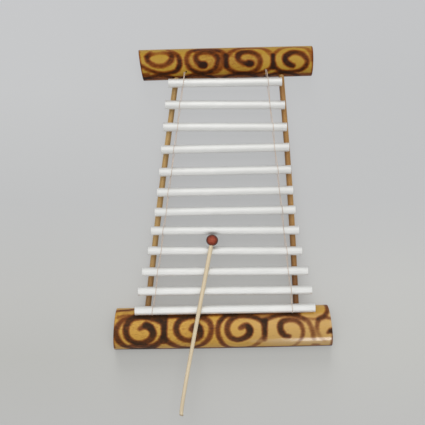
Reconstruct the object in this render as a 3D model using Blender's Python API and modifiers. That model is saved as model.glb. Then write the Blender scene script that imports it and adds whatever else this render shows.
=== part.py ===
"""Bamboo xylophone: twelve metal tubes strung between two split bamboo bridges, with its mallet.

Metres, +Z up. The bridges lie open side down on the floor, z = 0.
+Y runs from the near bridge, where the longest tube is, to the far bridge.
"""

import math
from collections import namedtuple

import bmesh
import bpy
from mathutils import Matrix, Vector

# Fits
CLEARANCE = 0.0003  # gap left between two pieces that touch
BEVEL_SEGMENTS = 2

# Near bridge: half of a bamboo culm, cut off by hand a little out of square
NEAR_LENGTH = 0.296
NEAR_RADIUS_LEFT = 0.0280
NEAR_RADIUS_RIGHT = 0.0276
NEAR_WALL = 0.0060
NEAR_AXIS_HEIGHT = 0.0
NEAR_YAW = 0.36  # degrees
NEAR_SLANT_LEFT = 4.0  # degrees, outer edge longer
NEAR_SLANT_RIGHT = 5.0

# Far bridge: a thinner culm, split a little below its middle
FAR_LENGTH = 0.2335
FAR_RADIUS_LEFT = 0.0204
FAR_RADIUS_RIGHT = 0.0190
FAR_WALL = 0.0050
FAR_AXIS_HEIGHT = 0.0030
FAR_YAW = 0.65
FAR_SLANT_LEFT = 7.5
FAR_SLANT_RIGHT = 1.5
FAR_SHIFT = 0.0096  # the far bridge sits this much to the right of the near one

BRIDGE_EDGE = 0.0008  # rounding of the sawn edges
CULM_SEGMENTS = 72

# Tubes, from the longest at the near bridge to the shortest at the far one
TUBE_DIAMETER = 0.012
TUBE_WALL = 0.0011
TUBE_CHAMFER = 0.0003
TUBE_LENGTHS = (
    0.2442, 0.2354, 0.2245, 0.2086, 0.2004, 0.1908,
    0.1845, 0.1786, 0.1738, 0.1680, 0.1628, 0.1546,
)
TUBE_GAPS = (0.0133, 0.0141, 0.0158, 0.0155, 0.0145, 0.0147, 0.0158, 0.0185, 0.0172, 0.0181, 0.0187)
TUBE_SKEWS = (0.3, -0.2, -0.3, -0.7, -0.4, 0.3, 0.3, 0.5, 0.5, -0.7, -0.7, 0.1)  # degrees, strung by hand
TUBE_STEPS = 24
NEAR_TUBE_LAP = 0.0069  # the first tube overhangs the near bridge's inner edge by this much
NEAR_TUBE_SINK = 0.0085  # its underside lies this far below the near bridge's ridge
FAR_TUBE_GAP = 0.0035  # between the last tube and the far bridge's inner edge
FAR_TUBE_SINK = 0.0092
TUBE_CENTRE_NEAR = 0.0032  # middle of the first and the last tube, right of the near bridge's middle
TUBE_CENTRE_FAR = 0.0072

# Rails under the tubes
RAIL_DIAMETER = 0.0074
RAIL_REACH = 0.008  # how far a rail comes out inside a bridge
RAIL_EDGE = 0.0006
RAIL_STEPS = 20
RAIL_DROP_NEAR = 0.0053  # between a rail's top and the undersides of the first and the last tube
RAIL_DROP_FAR = 0.0030
RAIL_GAPS_NEAR = (0.00542, 0.00115)  # left and right, from a string's knot to the rail outside it
RAIL_GAPS_FAR = (0.00308, 0.01425)

# Strings: two strands a side, one over and one under each tube by turns
STRAND_DIAMETER = 0.0009
STRAND_SIDE_GAP = 0.0004  # between the two strands of a pair
STRING_HALF_NEAR = 0.0922  # half the distance between the strings, at the first and the last tube
STRING_HALF_FAR = 0.0588
STRING_CENTRE_NEAR = 0.0007
STRING_CENTRE_FAR = 0.0072
STRING_HOLE_PLAY = 0.0004  # between the pair of strands and its hole
NEAR_HOLE_ANGLE = 38.0  # degrees above the horizontal, seen along the culm
FAR_HOLE_ANGLE = 49.0
STRAND_LIFT = 0.0010  # how far a strand stands off the culm before it turns
WRAP_STEP = 16.0  # degrees between points on a turn round a tube
KNOT_DIAMETER = 0.0042
KNOT_SEGMENTS = 12

# Mallet, lying on the first tubes with its head over the gap after the fourth
STICK_DIAMETER_HEAD = 0.0058
STICK_DIAMETER_END = 0.0053
STICK_EDGE = 0.0008
STICK_STEPS = 16
MALLET_LENGTH = 0.2376  # from the middle of the head to the stick's end
MALLET_ANGLE = 10.47  # degrees off the instrument's length
MALLET_OFFSET = -0.0132  # head's middle, right of the near bridge's middle
MALLET_GAP_NUMBER = 3  # index of the gap that the head lies over
HEAD_DIAMETER = 0.0154
HEAD_LENGTH = 0.0145  # along the stick
HEAD_SEAT = 0.0100  # depth of the stick's hole
HEAD_SEGMENTS = 28
HEAD_RINGS = 16

# Colours of the materials, linear RGB
BAMBOO = (0.52, 0.30, 0.065)
RAIL_WOOD = (0.40, 0.19, 0.045)
ALUMINIUM = (0.78, 0.78, 0.77)
THREAD = (0.36, 0.25, 0.15)
BEAD_WOOD = (0.28, 0.035, 0.016)
STICK_WOOD = (0.74, 0.56, 0.33)

TUBE_RADIUS = TUBE_DIAMETER / 2
RAIL_RADIUS = RAIL_DIAMETER / 2
STRAND_RADIUS = STRAND_DIAMETER / 2
STRAND_OFFSET = STRAND_RADIUS + STRAND_SIDE_GAP / 2
STRING_HOLE_RADIUS = STRAND_OFFSET + STRAND_RADIUS + STRING_HOLE_PLAY
KNOT_RADIUS = KNOT_DIAMETER / 2

Bridge = namedtuple(
    "Bridge",
    "name centre yaw length radius_left radius_right wall axis_height"
    " slant_left slant_right inward hole_angle",
)
Tube = namedtuple("Tube", "name centre length skew")


def clear_scene():
    for old in list(bpy.data.objects):
        bpy.data.objects.remove(old, do_unlink=True)


def new_collection(name):
    collection = bpy.data.collections.new(name)
    bpy.context.scene.collection.children.link(collection)
    return collection


def new_material(name, colour, roughness, metallic=0.0):
    material = bpy.data.materials.new(name)
    material.use_nodes = True
    shader = material.node_tree.nodes["Principled BSDF"]
    shader.inputs["Base Color"].default_value = (*colour, 1.0)
    shader.inputs["Roughness"].default_value = roughness
    shader.inputs["Metallic"].default_value = metallic
    material.diffuse_color = (*colour, 1.0)
    return material


def add_object(name, data, collection, matrix, material=None):
    """Links an object under the instrument's empty, so that the whole can be placed at once."""
    piece = bpy.data.objects.new(name, data)
    collection.objects.link(piece)
    piece.parent = bpy.data.objects["xylophone_root"]
    piece.matrix_basis = matrix
    if material:
        data.materials.append(material)
    return piece


def mesh_from(build, name, smooth_angle=40.0):
    """A mesh filled by build(bm), smooth except where faces meet at more than smooth_angle."""
    bm = bmesh.new()
    build(bm)
    mesh = bpy.data.meshes.new(name)
    bm.to_mesh(mesh)
    bm.free()
    mesh.shade_smooth()
    mesh.set_sharp_from_angle(angle=math.radians(smooth_angle))
    return mesh


def cone_mesh(name, radius_low, radius_high, depth, segments):
    """A cone or cylinder along Z, about the origin."""

    def build(bm):
        bmesh.ops.create_cone(
            bm, cap_ends=True, segments=segments, radius1=radius_low, radius2=radius_high, depth=depth
        )

    return mesh_from(build, name)


def add_cutter(name, mesh, matrix):
    cutter = add_object(name, mesh, bpy.data.collections["cutters"], matrix)
    cutter.hide_render = True
    cutter.display_type = "WIRE"
    return cutter


def cut(piece, cutter):
    modifier = piece.modifiers.new(f"cut {cutter.name}", "BOOLEAN")
    modifier.operation = "DIFFERENCE"
    modifier.solver = "EXACT"
    modifier.object = cutter


def round_edges(piece, width):
    modifier = piece.modifiers.new("rounded edges", "BEVEL")
    modifier.width = width
    modifier.segments = BEVEL_SEGMENTS
    modifier.limit_method = "ANGLE"
    modifier.angle_limit = math.radians(50)


def along(start, end):
    """Places a piece that is built along Z, about the origin, halfway between two points."""
    turn = (end - start).to_track_quat("Z", "Y").to_matrix().to_4x4()
    return Matrix.Translation((start + end) / 2) @ turn


def between(low, high, share):
    return low + (high - low) * share


def axis_y(bridge, x):
    """Where the culm's axis lies at x."""
    return bridge.centre.y + (x - bridge.centre.x) * math.tan(math.radians(bridge.yaw))


def radius_at(bridge, x):
    share = (x - bridge.centre.x) / bridge.length + 0.5
    return between(bridge.radius_left, bridge.radius_right, share)


def ridge_height(bridge):
    return bridge.axis_height + (bridge.radius_left + bridge.radius_right) / 2


def inner_half_width(bridge):
    return (bridge.radius_left + bridge.radius_right) / 2


def lay_out():
    """The two bridges and the twelve tubes, placed from one another's sizes."""
    near = Bridge(
        "near_bridge", Vector((0.0, 0.0)), NEAR_YAW, NEAR_LENGTH, NEAR_RADIUS_LEFT, NEAR_RADIUS_RIGHT,
        NEAR_WALL, NEAR_AXIS_HEIGHT, NEAR_SLANT_LEFT, NEAR_SLANT_RIGHT, 1, NEAR_HOLE_ANGLE,
    )
    first = inner_half_width(near) + TUBE_RADIUS - NEAR_TUBE_LAP
    last = first + sum(TUBE_GAPS) + TUBE_DIAMETER * len(TUBE_GAPS)
    far_half = (FAR_RADIUS_LEFT + FAR_RADIUS_RIGHT) / 2
    far_y = last + TUBE_RADIUS + FAR_TUBE_GAP + far_half
    far = Bridge(
        "far_bridge", Vector((FAR_SHIFT, far_y)), FAR_YAW, FAR_LENGTH, FAR_RADIUS_LEFT, FAR_RADIUS_RIGHT,
        FAR_WALL, FAR_AXIS_HEIGHT, FAR_SLANT_LEFT, FAR_SLANT_RIGHT, -1, FAR_HOLE_ANGLE,
    )
    near_height = ridge_height(near) - NEAR_TUBE_SINK + TUBE_RADIUS
    far_height = ridge_height(far) - FAR_TUBE_SINK + TUBE_RADIUS
    tubes = []
    station = first
    for number, length in enumerate(TUBE_LENGTHS):
        share = (station - first) / (last - first)
        centre = Vector((
            between(TUBE_CENTRE_NEAR, TUBE_CENTRE_FAR, share),
            station,
            between(near_height, far_height, share),
        ))
        tubes.append(Tube(f"tube_{number + 1:02d}", centre, length, TUBE_SKEWS[number]))
        if number < len(TUBE_GAPS):
            station += TUBE_DIAMETER + TUBE_GAPS[number]
    return near, far, tubes


def string_x(tubes, side, y):
    """The line that a string follows, seen from above. side is -1 on the left and 1 on the right."""
    share = (y - tubes[0].centre.y) / (tubes[-1].centre.y - tubes[0].centre.y)
    centre = between(STRING_CENTRE_NEAR, STRING_CENTRE_FAR, share)
    return centre + side * between(STRING_HALF_NEAR, STRING_HALF_FAR, share)


def hole_point(bridge, tubes, side, out):
    """A point on a string hole's axis, out metres from the culm's surface."""
    angle = math.radians(bridge.hole_angle)
    x = string_x(tubes, side, bridge.centre.y)
    reach = radius_at(bridge, x) + out
    y = axis_y(bridge, x) + bridge.inward * reach * math.cos(angle)
    return Vector((x, y, bridge.axis_height + reach * math.sin(angle)))


def make_bridge(bridge, parts, material):
    """A tapering culm with its ends sawn askew, bored out, split and drilled."""
    spread = max(bridge.radius_left, bridge.radius_right)
    matrix = Matrix.Translation((*bridge.centre, bridge.axis_height)) @ Matrix.Rotation(
        math.radians(bridge.yaw), 4, "Z"
    )

    def build(bm):
        bmesh.ops.create_cone(
            bm, cap_ends=True, segments=CULM_SEGMENTS,
            radius1=bridge.radius_left, radius2=bridge.radius_right, depth=bridge.length,
        )
        half_step = Matrix.Rotation(math.pi / CULM_SEGMENTS, 4, "Z")
        bmesh.ops.transform(bm, matrix=Matrix.Rotation(math.pi / 2, 4, "Y") @ half_step, verts=bm.verts)
        for corner in bm.verts:
            outward = -bridge.inward * corner.co.y
            left = corner.co.x < 0
            slant = -bridge.slant_left if left else bridge.slant_right
            corner.co.x += math.tan(math.radians(slant)) * outward

    piece = add_object(bridge.name, mesh_from(build, bridge.name), parts, matrix, material)
    lengthen = 1 + 2 * spread / bridge.length
    taper = (bridge.radius_right - bridge.radius_left) * (lengthen - 1) / 2
    bore = cone_mesh(
        f"{bridge.name} bore",
        bridge.radius_left - bridge.wall - taper,
        bridge.radius_right - bridge.wall + taper,
        bridge.length * lengthen,
        CULM_SEGMENTS,
    )
    cut(piece, add_cutter(f"{bridge.name} bore", bore, matrix @ Matrix.Rotation(math.pi / 2, 4, "Y")))

    def build_block(bm):
        bmesh.ops.create_cube(bm, size=1.0)
        bmesh.ops.scale(bm, vec=(bridge.length + 4 * spread, 4 * spread, 2 * spread), verts=bm.verts)

    below = Matrix.Translation((0, 0, -bridge.axis_height - spread))
    block = mesh_from(build_block, f"{bridge.name} split")
    cut(piece, add_cutter(f"{bridge.name} split", block, matrix @ below))
    round_edges(piece, BRIDGE_EDGE)
    return piece


def rail_x(bridge, tubes, side, gaps):
    """A rail's place along a bridge, outside the knot that the string beside it is tied off with."""
    gap = gaps[0] if side < 0 else gaps[1]
    return string_x(tubes, side, bridge.centre.y) + side * (KNOT_RADIUS + gap + RAIL_RADIUS)


def rail_ends(near, far, tubes, side):
    """Where a rail ends, inside the two hollows."""
    heights = [
        tube.centre.z - TUBE_RADIUS - drop - RAIL_RADIUS
        for tube, drop in ((tubes[0], RAIL_DROP_NEAR), (tubes[-1], RAIL_DROP_FAR))
    ]
    start = Vector((rail_x(near, tubes, side, RAIL_GAPS_NEAR), near.centre.y, heights[0]))
    end = Vector((rail_x(far, tubes, side, RAIL_GAPS_FAR), far.centre.y, heights[1]))
    ends = []
    for bridge, point, other in ((near, start, end), (far, end, start)):
        inside = radius_at(bridge, point.x) - bridge.wall
        rise = point.z - bridge.axis_height
        depth = math.sqrt(inside**2 - rise**2) - RAIL_REACH
        ends.append(point.lerp(other, depth / (far.centre.y - near.centre.y)))
    return ends


def make_rail(name, near, far, tubes, side, parts, material, pieces):
    start, end = rail_ends(near, far, tubes, side)
    length = (end - start).length
    mesh = cone_mesh(name, RAIL_RADIUS, RAIL_RADIUS, length, RAIL_STEPS)
    rail = add_object(name, mesh, parts, along(start, end), material)
    round_edges(rail, RAIL_EDGE)
    hole_radius = RAIL_RADIUS + CLEARANCE
    reach = (end - start).normalized() * (RAIL_REACH + 2 * max(near.wall, far.wall))
    for bridge, tip, inward in ((near, start, reach), (far, end, -reach)):
        drill = cone_mesh(f"{bridge.name} {name} hole", hole_radius, hole_radius, reach.length, RAIL_STEPS)
        place = along(tip, tip + inward)
        cut(pieces[bridge.name], add_cutter(f"{bridge.name} {name} hole", drill, place))


def make_string_holes(bridge, tubes, pieces):
    for side, label in ((-1, "left"), (1, "right")):
        inside = hole_point(bridge, tubes, side, -bridge.wall - STRING_HOLE_RADIUS)
        outside = hole_point(bridge, tubes, side, bridge.wall)
        name = f"{bridge.name} {label} string hole"
        depth = (outside - inside).length
        drill = cone_mesh(name, STRING_HOLE_RADIUS, STRING_HOLE_RADIUS, depth, KNOT_SEGMENTS)
        cut(pieces[bridge.name], add_cutter(name, drill, along(inside, outside)))


def make_tube(tube, parts, material):
    """A tube turned from its wall's section, lying along X."""
    half = tube.length / 2
    inner = TUBE_RADIUS - TUBE_WALL
    section = [
        (TUBE_RADIUS - TUBE_CHAMFER, half),
        (TUBE_RADIUS, half - TUBE_CHAMFER),
        (TUBE_RADIUS, TUBE_CHAMFER - half),
        (TUBE_RADIUS - TUBE_CHAMFER, -half),
        (inner, -half),
        (inner, half),
    ]
    mesh = bpy.data.meshes.new(tube.name)
    loop = [(n, (n + 1) % len(section)) for n in range(len(section))]
    mesh.from_pydata([(x, 0.0, z) for x, z in section], loop, [])
    turn = Matrix.Rotation(math.radians(tube.skew), 4, "Z") @ Matrix.Rotation(math.pi / 2, 4, "Y")
    piece = add_object(tube.name, mesh, parts, Matrix.Translation(tube.centre) @ turn, material)
    screw = piece.modifiers.new("turned wall", "SCREW")
    screw.axis = "Z"
    screw.angle = 2 * math.pi
    screw.steps = TUBE_STEPS
    screw.render_steps = TUBE_STEPS
    screw.use_merge_vertices = True
    screw.merge_threshold = 0.00001
    screw.use_smooth_shade = True


def wrap(stops):
    """The path of a taut strand in the Y-Z plane past stops of (y, z, radius).

    A radius above zero passes over its stop, one below zero passes under it, and zero is a plain point.
    """
    headings = []
    for (y0, z0, r0), (y1, z1, r1) in zip(stops, stops[1:]):
        distance = math.hypot(y1 - y0, z1 - z0)
        headings.append(math.atan2(z1 - z0, y1 - y0) - math.asin((r0 - r1) / distance))
    path = []
    for number, (y, z, radius) in enumerate(stops):
        if radius == 0:
            path.append((y, z))
            continue
        start = headings[number - 1] + math.pi / 2
        sweep = headings[number] - headings[number - 1]
        count = max(2, math.ceil(abs(math.degrees(sweep)) / WRAP_STEP))
        for step in range(count + 1):
            angle = start + sweep * step / count
            path.append((y + radius * math.cos(angle), z + radius * math.sin(angle)))
    return path


def strand_points(near, far, tubes, side, lane, first_over):
    """A strand from hole to hole. lane is which of the pair's two sides it keeps to."""
    turn_radius = TUBE_RADIUS + STRAND_RADIUS + CLEARANCE
    stops = [hole_point(near, tubes, side, out) for out in (-near.wall, STRAND_LIFT)]
    stops = [(point.y, point.z, 0.0) for point in stops]
    over = first_over
    for tube in tubes:
        x = string_x(tubes, side, tube.centre.y)
        y = tube.centre.y + (x - tube.centre.x) * math.tan(math.radians(tube.skew))
        stops.append((y, tube.centre.z, turn_radius if over else -turn_radius))
        over = not over
    ends = [hole_point(far, tubes, side, out) for out in (STRAND_LIFT, -far.wall)]
    stops += [(point.y, point.z, 0.0) for point in ends]
    near_x = string_x(tubes, side, near.centre.y)
    far_x = string_x(tubes, side, far.centre.y)
    points = []
    for y, z in wrap(stops):
        share = min(max((y - stops[1][0]) / (stops[-2][0] - stops[1][0]), 0.0), 1.0)
        points.append(Vector((between(near_x, far_x, share) + lane * STRAND_OFFSET, y, z)))
    return points


def make_strand(name, points, parts, material):
    curve = bpy.data.curves.new(name, "CURVE")
    curve.dimensions = "3D"
    curve.bevel_depth = STRAND_RADIUS
    curve.bevel_resolution = 1
    curve.use_fill_caps = True
    spline = curve.splines.new("POLY")
    spline.points.add(len(points) - 1)
    for slot, point in zip(spline.points, points):
        slot.co = (*point, 1.0)
    add_object(name, curve, parts, Matrix.Identity(4), material)


def make_knot(name, bridge, tubes, side, parts, material):
    """A knot drawn up against the culm's inside, below its hole."""
    centre = hole_point(bridge, tubes, side, -bridge.wall - CLEARANCE - KNOT_RADIUS)

    def build(bm):
        bmesh.ops.create_uvsphere(
            bm, u_segments=KNOT_SEGMENTS, v_segments=KNOT_SEGMENTS // 2, radius=KNOT_RADIUS
        )

    add_object(name, mesh_from(build, name, 60.0), parts, Matrix.Translation(centre), material)


def make_mallet(tubes, parts, stick_wood, bead_wood):
    """The stick lies on the first tubes, and the head hangs over the gap that it is named for."""
    gap = tubes[MALLET_GAP_NUMBER : MALLET_GAP_NUMBER + 2]
    rise = STICK_DIAMETER_HEAD / 2 + TUBE_RADIUS + CLEARANCE
    middle = (gap[0].centre + gap[1].centre) / 2
    run = tubes[0].centre - tubes[-1].centre
    angle = math.radians(MALLET_ANGLE)
    fall = run.z / run.y
    heading = Vector((-math.sin(angle), -math.cos(angle), -math.cos(angle) * fall)).normalized()
    head_at = Vector((MALLET_OFFSET, middle.y, middle.z + rise * math.hypot(1, fall)))
    tip = head_at + heading * (HEAD_LENGTH / 2 - HEAD_SEAT)
    end = head_at + heading * MALLET_LENGTH
    stick_mesh = cone_mesh(
        "mallet_stick", STICK_DIAMETER_HEAD / 2, STICK_DIAMETER_END / 2, (end - tip).length, STICK_STEPS
    )
    stick = add_object("mallet_stick", stick_mesh, parts, along(tip, end), stick_wood)
    round_edges(stick, STICK_EDGE)

    def build(bm):
        bmesh.ops.create_uvsphere(
            bm, u_segments=HEAD_SEGMENTS, v_segments=HEAD_RINGS, radius=HEAD_DIAMETER / 2
        )
        bmesh.ops.scale(bm, vec=(1, 1, HEAD_LENGTH / HEAD_DIAMETER), verts=bm.verts)

    lie = heading.to_track_quat("Z", "Y").to_matrix().to_4x4()
    head_mesh = mesh_from(build, "mallet_head", 60.0)
    head = add_object("mallet_head", head_mesh, parts, Matrix.Translation(head_at) @ lie, bead_wood)
    bore_radius = STICK_DIAMETER_HEAD / 2 + CLEARANCE
    bore = cone_mesh("mallet_head bore", bore_radius, bore_radius, HEAD_LENGTH, STICK_STEPS)
    bore_start = tip - heading * CLEARANCE
    cut(head, add_cutter("mallet_head bore", bore, along(bore_start, bore_start + heading * HEAD_LENGTH)))


def stand_on_origin(parts):
    """Moves the whole so that its box stands centred on the origin."""
    bpy.context.view_layer.update()
    graph = bpy.context.evaluated_depsgraph_get()
    corners = []
    for piece in parts.objects:
        if piece.type == "EMPTY":
            continue
        solid = piece.evaluated_get(graph)
        corners += [solid.matrix_world @ corner.co for corner in solid.to_mesh().vertices]
        solid.to_mesh_clear()
    root = bpy.data.objects["xylophone_root"]
    for axis in (0, 1):
        values = [corner[axis] for corner in corners]
        root.location[axis] = -(min(values) + max(values)) / 2
    bpy.context.view_layer.update()


def main():
    clear_scene()
    parts = new_collection("bamboo_xylophone")
    new_collection("cutters").hide_render = True
    root = bpy.data.objects.new("xylophone_root", None)
    parts.objects.link(root)

    bamboo = new_material("bamboo", BAMBOO, 0.35)
    rail_wood = new_material("rail_wood", RAIL_WOOD, 0.5)
    aluminium = new_material("aluminium", ALUMINIUM, 0.35, 1.0)
    thread = new_material("thread", THREAD, 0.9)
    bead_wood = new_material("bead_wood", BEAD_WOOD, 0.3)
    stick_wood = new_material("stick_wood", STICK_WOOD, 0.55)

    near, far, tubes = lay_out()
    pieces = {bridge.name: make_bridge(bridge, parts, bamboo) for bridge in (near, far)}
    for bridge in (near, far):
        make_string_holes(bridge, tubes, pieces)
    for side, label in ((-1, "left"), (1, "right")):
        make_rail(f"{label}_rail", near, far, tubes, side, parts, rail_wood, pieces)
        for lane, letter in ((-1, "a"), (1, "b")):
            points = strand_points(near, far, tubes, side, lane, first_over=lane < 0)
            make_strand(f"{label}_string_{letter}", points, parts, thread)
        make_knot(f"near_{label}_knot", near, tubes, side, parts, thread)
        make_knot(f"far_{label}_knot", far, tubes, side, parts, thread)
    for tube in tubes:
        make_tube(tube, parts, aluminium)
    make_mallet(tubes, parts, stick_wood, bead_wood)
    stand_on_origin(parts)


main()
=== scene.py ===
"""Looks of the bamboo xylophone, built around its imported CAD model.

Metres, +Z up, +Y from the near bridge to the far one.
"""

import math
from collections import namedtuple

import bmesh
import bpy
import numpy as np
from mathutils import Matrix, Vector


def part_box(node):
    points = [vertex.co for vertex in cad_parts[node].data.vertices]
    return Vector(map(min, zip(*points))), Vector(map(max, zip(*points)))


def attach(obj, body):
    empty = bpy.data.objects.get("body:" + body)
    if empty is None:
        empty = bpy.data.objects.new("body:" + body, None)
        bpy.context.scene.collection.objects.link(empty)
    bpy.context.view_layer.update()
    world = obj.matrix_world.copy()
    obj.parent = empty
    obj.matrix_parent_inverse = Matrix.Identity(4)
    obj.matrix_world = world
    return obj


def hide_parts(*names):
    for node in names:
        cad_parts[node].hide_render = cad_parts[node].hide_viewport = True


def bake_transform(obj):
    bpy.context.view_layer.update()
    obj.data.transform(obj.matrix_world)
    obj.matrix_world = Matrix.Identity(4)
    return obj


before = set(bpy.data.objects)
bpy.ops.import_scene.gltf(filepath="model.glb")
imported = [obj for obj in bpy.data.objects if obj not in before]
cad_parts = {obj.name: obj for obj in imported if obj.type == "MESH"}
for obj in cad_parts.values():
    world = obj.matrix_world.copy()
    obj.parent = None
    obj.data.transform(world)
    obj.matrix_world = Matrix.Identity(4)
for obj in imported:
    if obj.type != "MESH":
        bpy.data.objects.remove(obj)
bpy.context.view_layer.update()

# Camera, almost straight above the instrument
IMAGE_SIDE = 425
FOCAL_PIXELS = 793.0
SENSOR = 36.0  # millimetres
CAMERA_AT = (-0.0125, 0.0229, 1.100)
CAMERA_ROLL = -0.012  # radians

# Bridges. Their sizes are the CAD solids', but the far one is 2.6 mm longer and the string holes are 0.4 mm
# narrower. As grown pieces they swell a little past the half round: the outer side by three lengths, at the
# left end, the middle and the right end, and the tube side by one. Angles are in degrees.
Culm = namedtuple(
    "Culm",
    "node centre yaw length radius_left radius_right wall axis_height"
    " slant_left slant_right inward hole_angle outer_swell tube_swell",
)
NEAR_FROM_FIRST_TUBE = Vector((-0.0032, -0.0269))
FAR_FROM_LAST_TUBE = Vector((0.0024, 0.0292))
CULM_EDGE = 0.0008  # rounding of the sawn and split edges
CULM_GRID = 0.0008  # size of a face on the skin
CULM_INNER_STEPS = 24
CULM_EDGE_STEPS = 3
CORNER_SHARES = (0.33, 0.67)  # points within the rounding of a split edge
RAIL_HOLE_DEPTH = 3  # in walls of the culm
RAIL_HOLE_PLAY = 0.0003
STRING_HOLE_RADIUS = 0.0013

# Tubes
TUBE_WALL = 0.0011
TUBE_LIP = 0.0003
TUBE_LIP_STEPS = 3
TUBE_STEPS = 72

# Rails and the mallet's stick, shaved by hand
BAR_EDGE_STEPS = 4
RAIL_SWELL_NEAR, RAIL_SWELL_FAR = 1.13, 1.05  # thickness against the CAD's even one
RAIL_NEAR_SHADE = (0.11, 0.055)  # from the near end, where the painted shade begins and where it is full
STICK_RADII = (0.00265, 0.0029)
STICK_DARK_END = 0.0028

# Mallet's bead, 0.8 to 0.9 mm larger than its CAD solid and 0.9 mm further along the stick
BEAD_HALF = 0.0081
BEAD_LONG_HALF = 0.0077  # along the stick
BEAD_AHEAD = 0.0009
BEAD_BORE = 0.0032
BEAD_BORE_END = -0.002  # from the middle
BEAD_RIM = 0.0004  # bevel of the bore's mouth
BEAD_ROUND_FROM, BEAD_ROUND_TO = 0.04, 0.16  # radians left out at the bore and at the tip
BEAD_DIMPLE = ((0.0009, 0.975), (0.0006, 0.90), (0.0001, 0.86))  # radius, share of the long half
BEAD_ROUND_STEPS, BEAD_STEPS = 40, 56
BEAD_SHADE = (BEAD_HALF * 0.97, BEAD_HALF * 0.3)  # heights where the painted shade begins and where it is full

# Strings: strands of two twisted plies
STRAND_RADIUS = 0.00045
PLY_RADIUS = 0.00025
PLY_OFFSET = 0.00020
PLY_SIDES = 6
PLY_PITCH = 0.0026
STRAND_STEP = 0.0004
STRAND_PLAY = 0.00006  # between a strand and the tube that it turns round
STRAND_LIFT = 0.0010
WRAP_STEP = 6.0  # degrees
BEYOND = 1.0  # past the strings' ends

# Knots
KNOT_RADIUS = 0.0019
KNOT_STEPS, KNOT_SIDES = 96, 10
KNOT_STRAND_RADIUS = STRAND_RADIUS * 1.25
KNOT_CURL_REACH = 3.0  # of the curve before it is scaled
KNOT_CURL_DEPTH = 1.2
KNOT_TILT = (0, 0, 0.002)  # keeps the rings' sides from turning over

# Floor, with its tones at the shares of its seen length. The tones paint how light falls across it: darker
# towards the near end, most on the left, with painted shade in front of the near bridge
FLOOR_HEIGHT = -0.0003
FLOOR_SEEN_ALONG = (-0.30, 0.32)
FLOOR_SEEN_ACROSS = (-0.24, 0.23)
FLOOR_LEFT = (
    (0.0, (0.475, 0.475, 0.47)), (0.20, (0.470, 0.470, 0.455)), (0.36, (0.495, 0.495, 0.485)),
    (0.55, (0.505, 0.509, 0.512)), (0.8, (0.560, 0.565, 0.57)), (1.0, (0.560, 0.565, 0.575)),
)
FLOOR_RIGHT = (
    (0.0, (0.490, 0.490, 0.485)), (0.20, (0.510, 0.510, 0.495)), (0.36, (0.520, 0.520, 0.51)),
    (0.55, (0.508, 0.512, 0.516)), (0.8, (0.530, 0.535, 0.54)), (1.0, (0.540, 0.545, 0.555)),
)
SHADOW_FADES = (0.3, 0.8)  # shares of the seen length
OWN_TONE_NEAR, OWN_TONE_FAR = 0.48, 0.90

# Light
Lamp = namedtuple("Lamp", "name at target size power")
KEY = Lamp("key", (-0.05, 0.70, 2.0), (0.0, 0.03, 0.0), (2.0, 2.0), 22.0)
BACK_STRIP = Lamp("back_strip", (0.0, 0.36, 0.19), (0.0, 0.20, 0.02), (0.9, 0.16), 0.10)
FRONT_STRIP = Lamp("front_strip", (0.0, -0.25, 0.16), (0.0, -0.11, 0.02), (0.9, 0.14), 0.24)
WINDOW = Lamp("window", (0.405, -1.60, 0.42), (0.10, -0.14, 0.02), (0.28, 0.60), 6.6)
DOME_TONES = ((0.0, (0.14, 0.14, 0.14)), (1.0, (0.74, 0.74, 0.72)))
STUDIO_TONES = ((0.0, (0.30, 0.30, 0.30)), (0.5, (0.62, 0.62, 0.62)), (1.0, (0.93, 0.93, 0.92)))
STUDIO_BRIGHTEST = (0.0, 0.40, 0.917)
BACKDROP = (0.57, 0.575, 0.585)

NUMBERS = range(1, 13)
TUBE_NODES = [f"tube_{number:02d}" for number in NUMBERS]
SIDES = ("left", "right")
X_AXIS, Y_AXIS = 0, 1
END_SLICE = 1e-4  # of a bar's points, those that belong to its end

Bar = namedtuple("Bar", "start end radius")


def vertices_of(mesh):
    return np.array([corner.co for corner in mesh.vertices])


def bar_of(node, axis):
    """The axis of a straight round node, from its lower end along a world axis to its higher one."""
    points = vertices_of(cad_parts[node].data)
    middle = points.mean(0)
    direction = np.linalg.svd(points - middle, full_matrices=False)[2][0]
    direction *= np.sign(direction[axis])
    along = (points - middle) @ direction
    start = points[along < along.min() + END_SLICE].mean(0)
    end = points[along > along.max() - END_SLICE].mean(0)
    off = points - start
    off -= np.outer(off @ direction, direction)
    return Bar(Vector(start), Vector(end), np.linalg.norm(off, axis=1).max())


tubes = [bar_of(node, X_AXIS) for node in TUBE_NODES]
tube_middles = [(tube.start + tube.end) / 2 for tube in tubes]
NEAR = Culm(
    node="near_bridge", centre=tube_middles[0].xy + NEAR_FROM_FIRST_TUBE, yaw=0.36, length=0.296,
    radius_left=0.0280, radius_right=0.0276, wall=0.0060, axis_height=0.0, slant_left=4.0, slant_right=5.0,
    inward=1, hole_angle=38.0, outer_swell=(0.0010, 0.0020, 0.0014), tube_swell=0.0,
)
FAR = Culm(
    node="far_bridge", centre=tube_middles[-1].xy + FAR_FROM_LAST_TUBE, yaw=0.65, length=0.2361,
    radius_left=0.0204, radius_right=0.0190, wall=0.0050, axis_height=0.0030, slant_left=7.5, slant_right=1.5,
    inward=-1, hole_angle=49.0, outer_swell=(0.0003, 0.0014, 0.0020), tube_swell=0.0009,
)


# Meshes

def skin(rings, closed=False):
    """Points and faces over rings of points. Open ends are capped."""
    rings = np.asarray(rings, float)
    count, around = rings.shape[:2]
    faces = []
    for ring in range(count if closed else count - 1):
        low, high = ring * around, (ring + 1) % count * around
        for step in range(around):
            after = (step + 1) % around
            faces.append((low + step, low + after, high + after, high + step))
    if not closed:
        faces.append(tuple(range(around - 1, -1, -1)))
        faces.append(tuple(range((count - 1) * around, count * around)))
    return rings.reshape(-1, 3), faces


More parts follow.
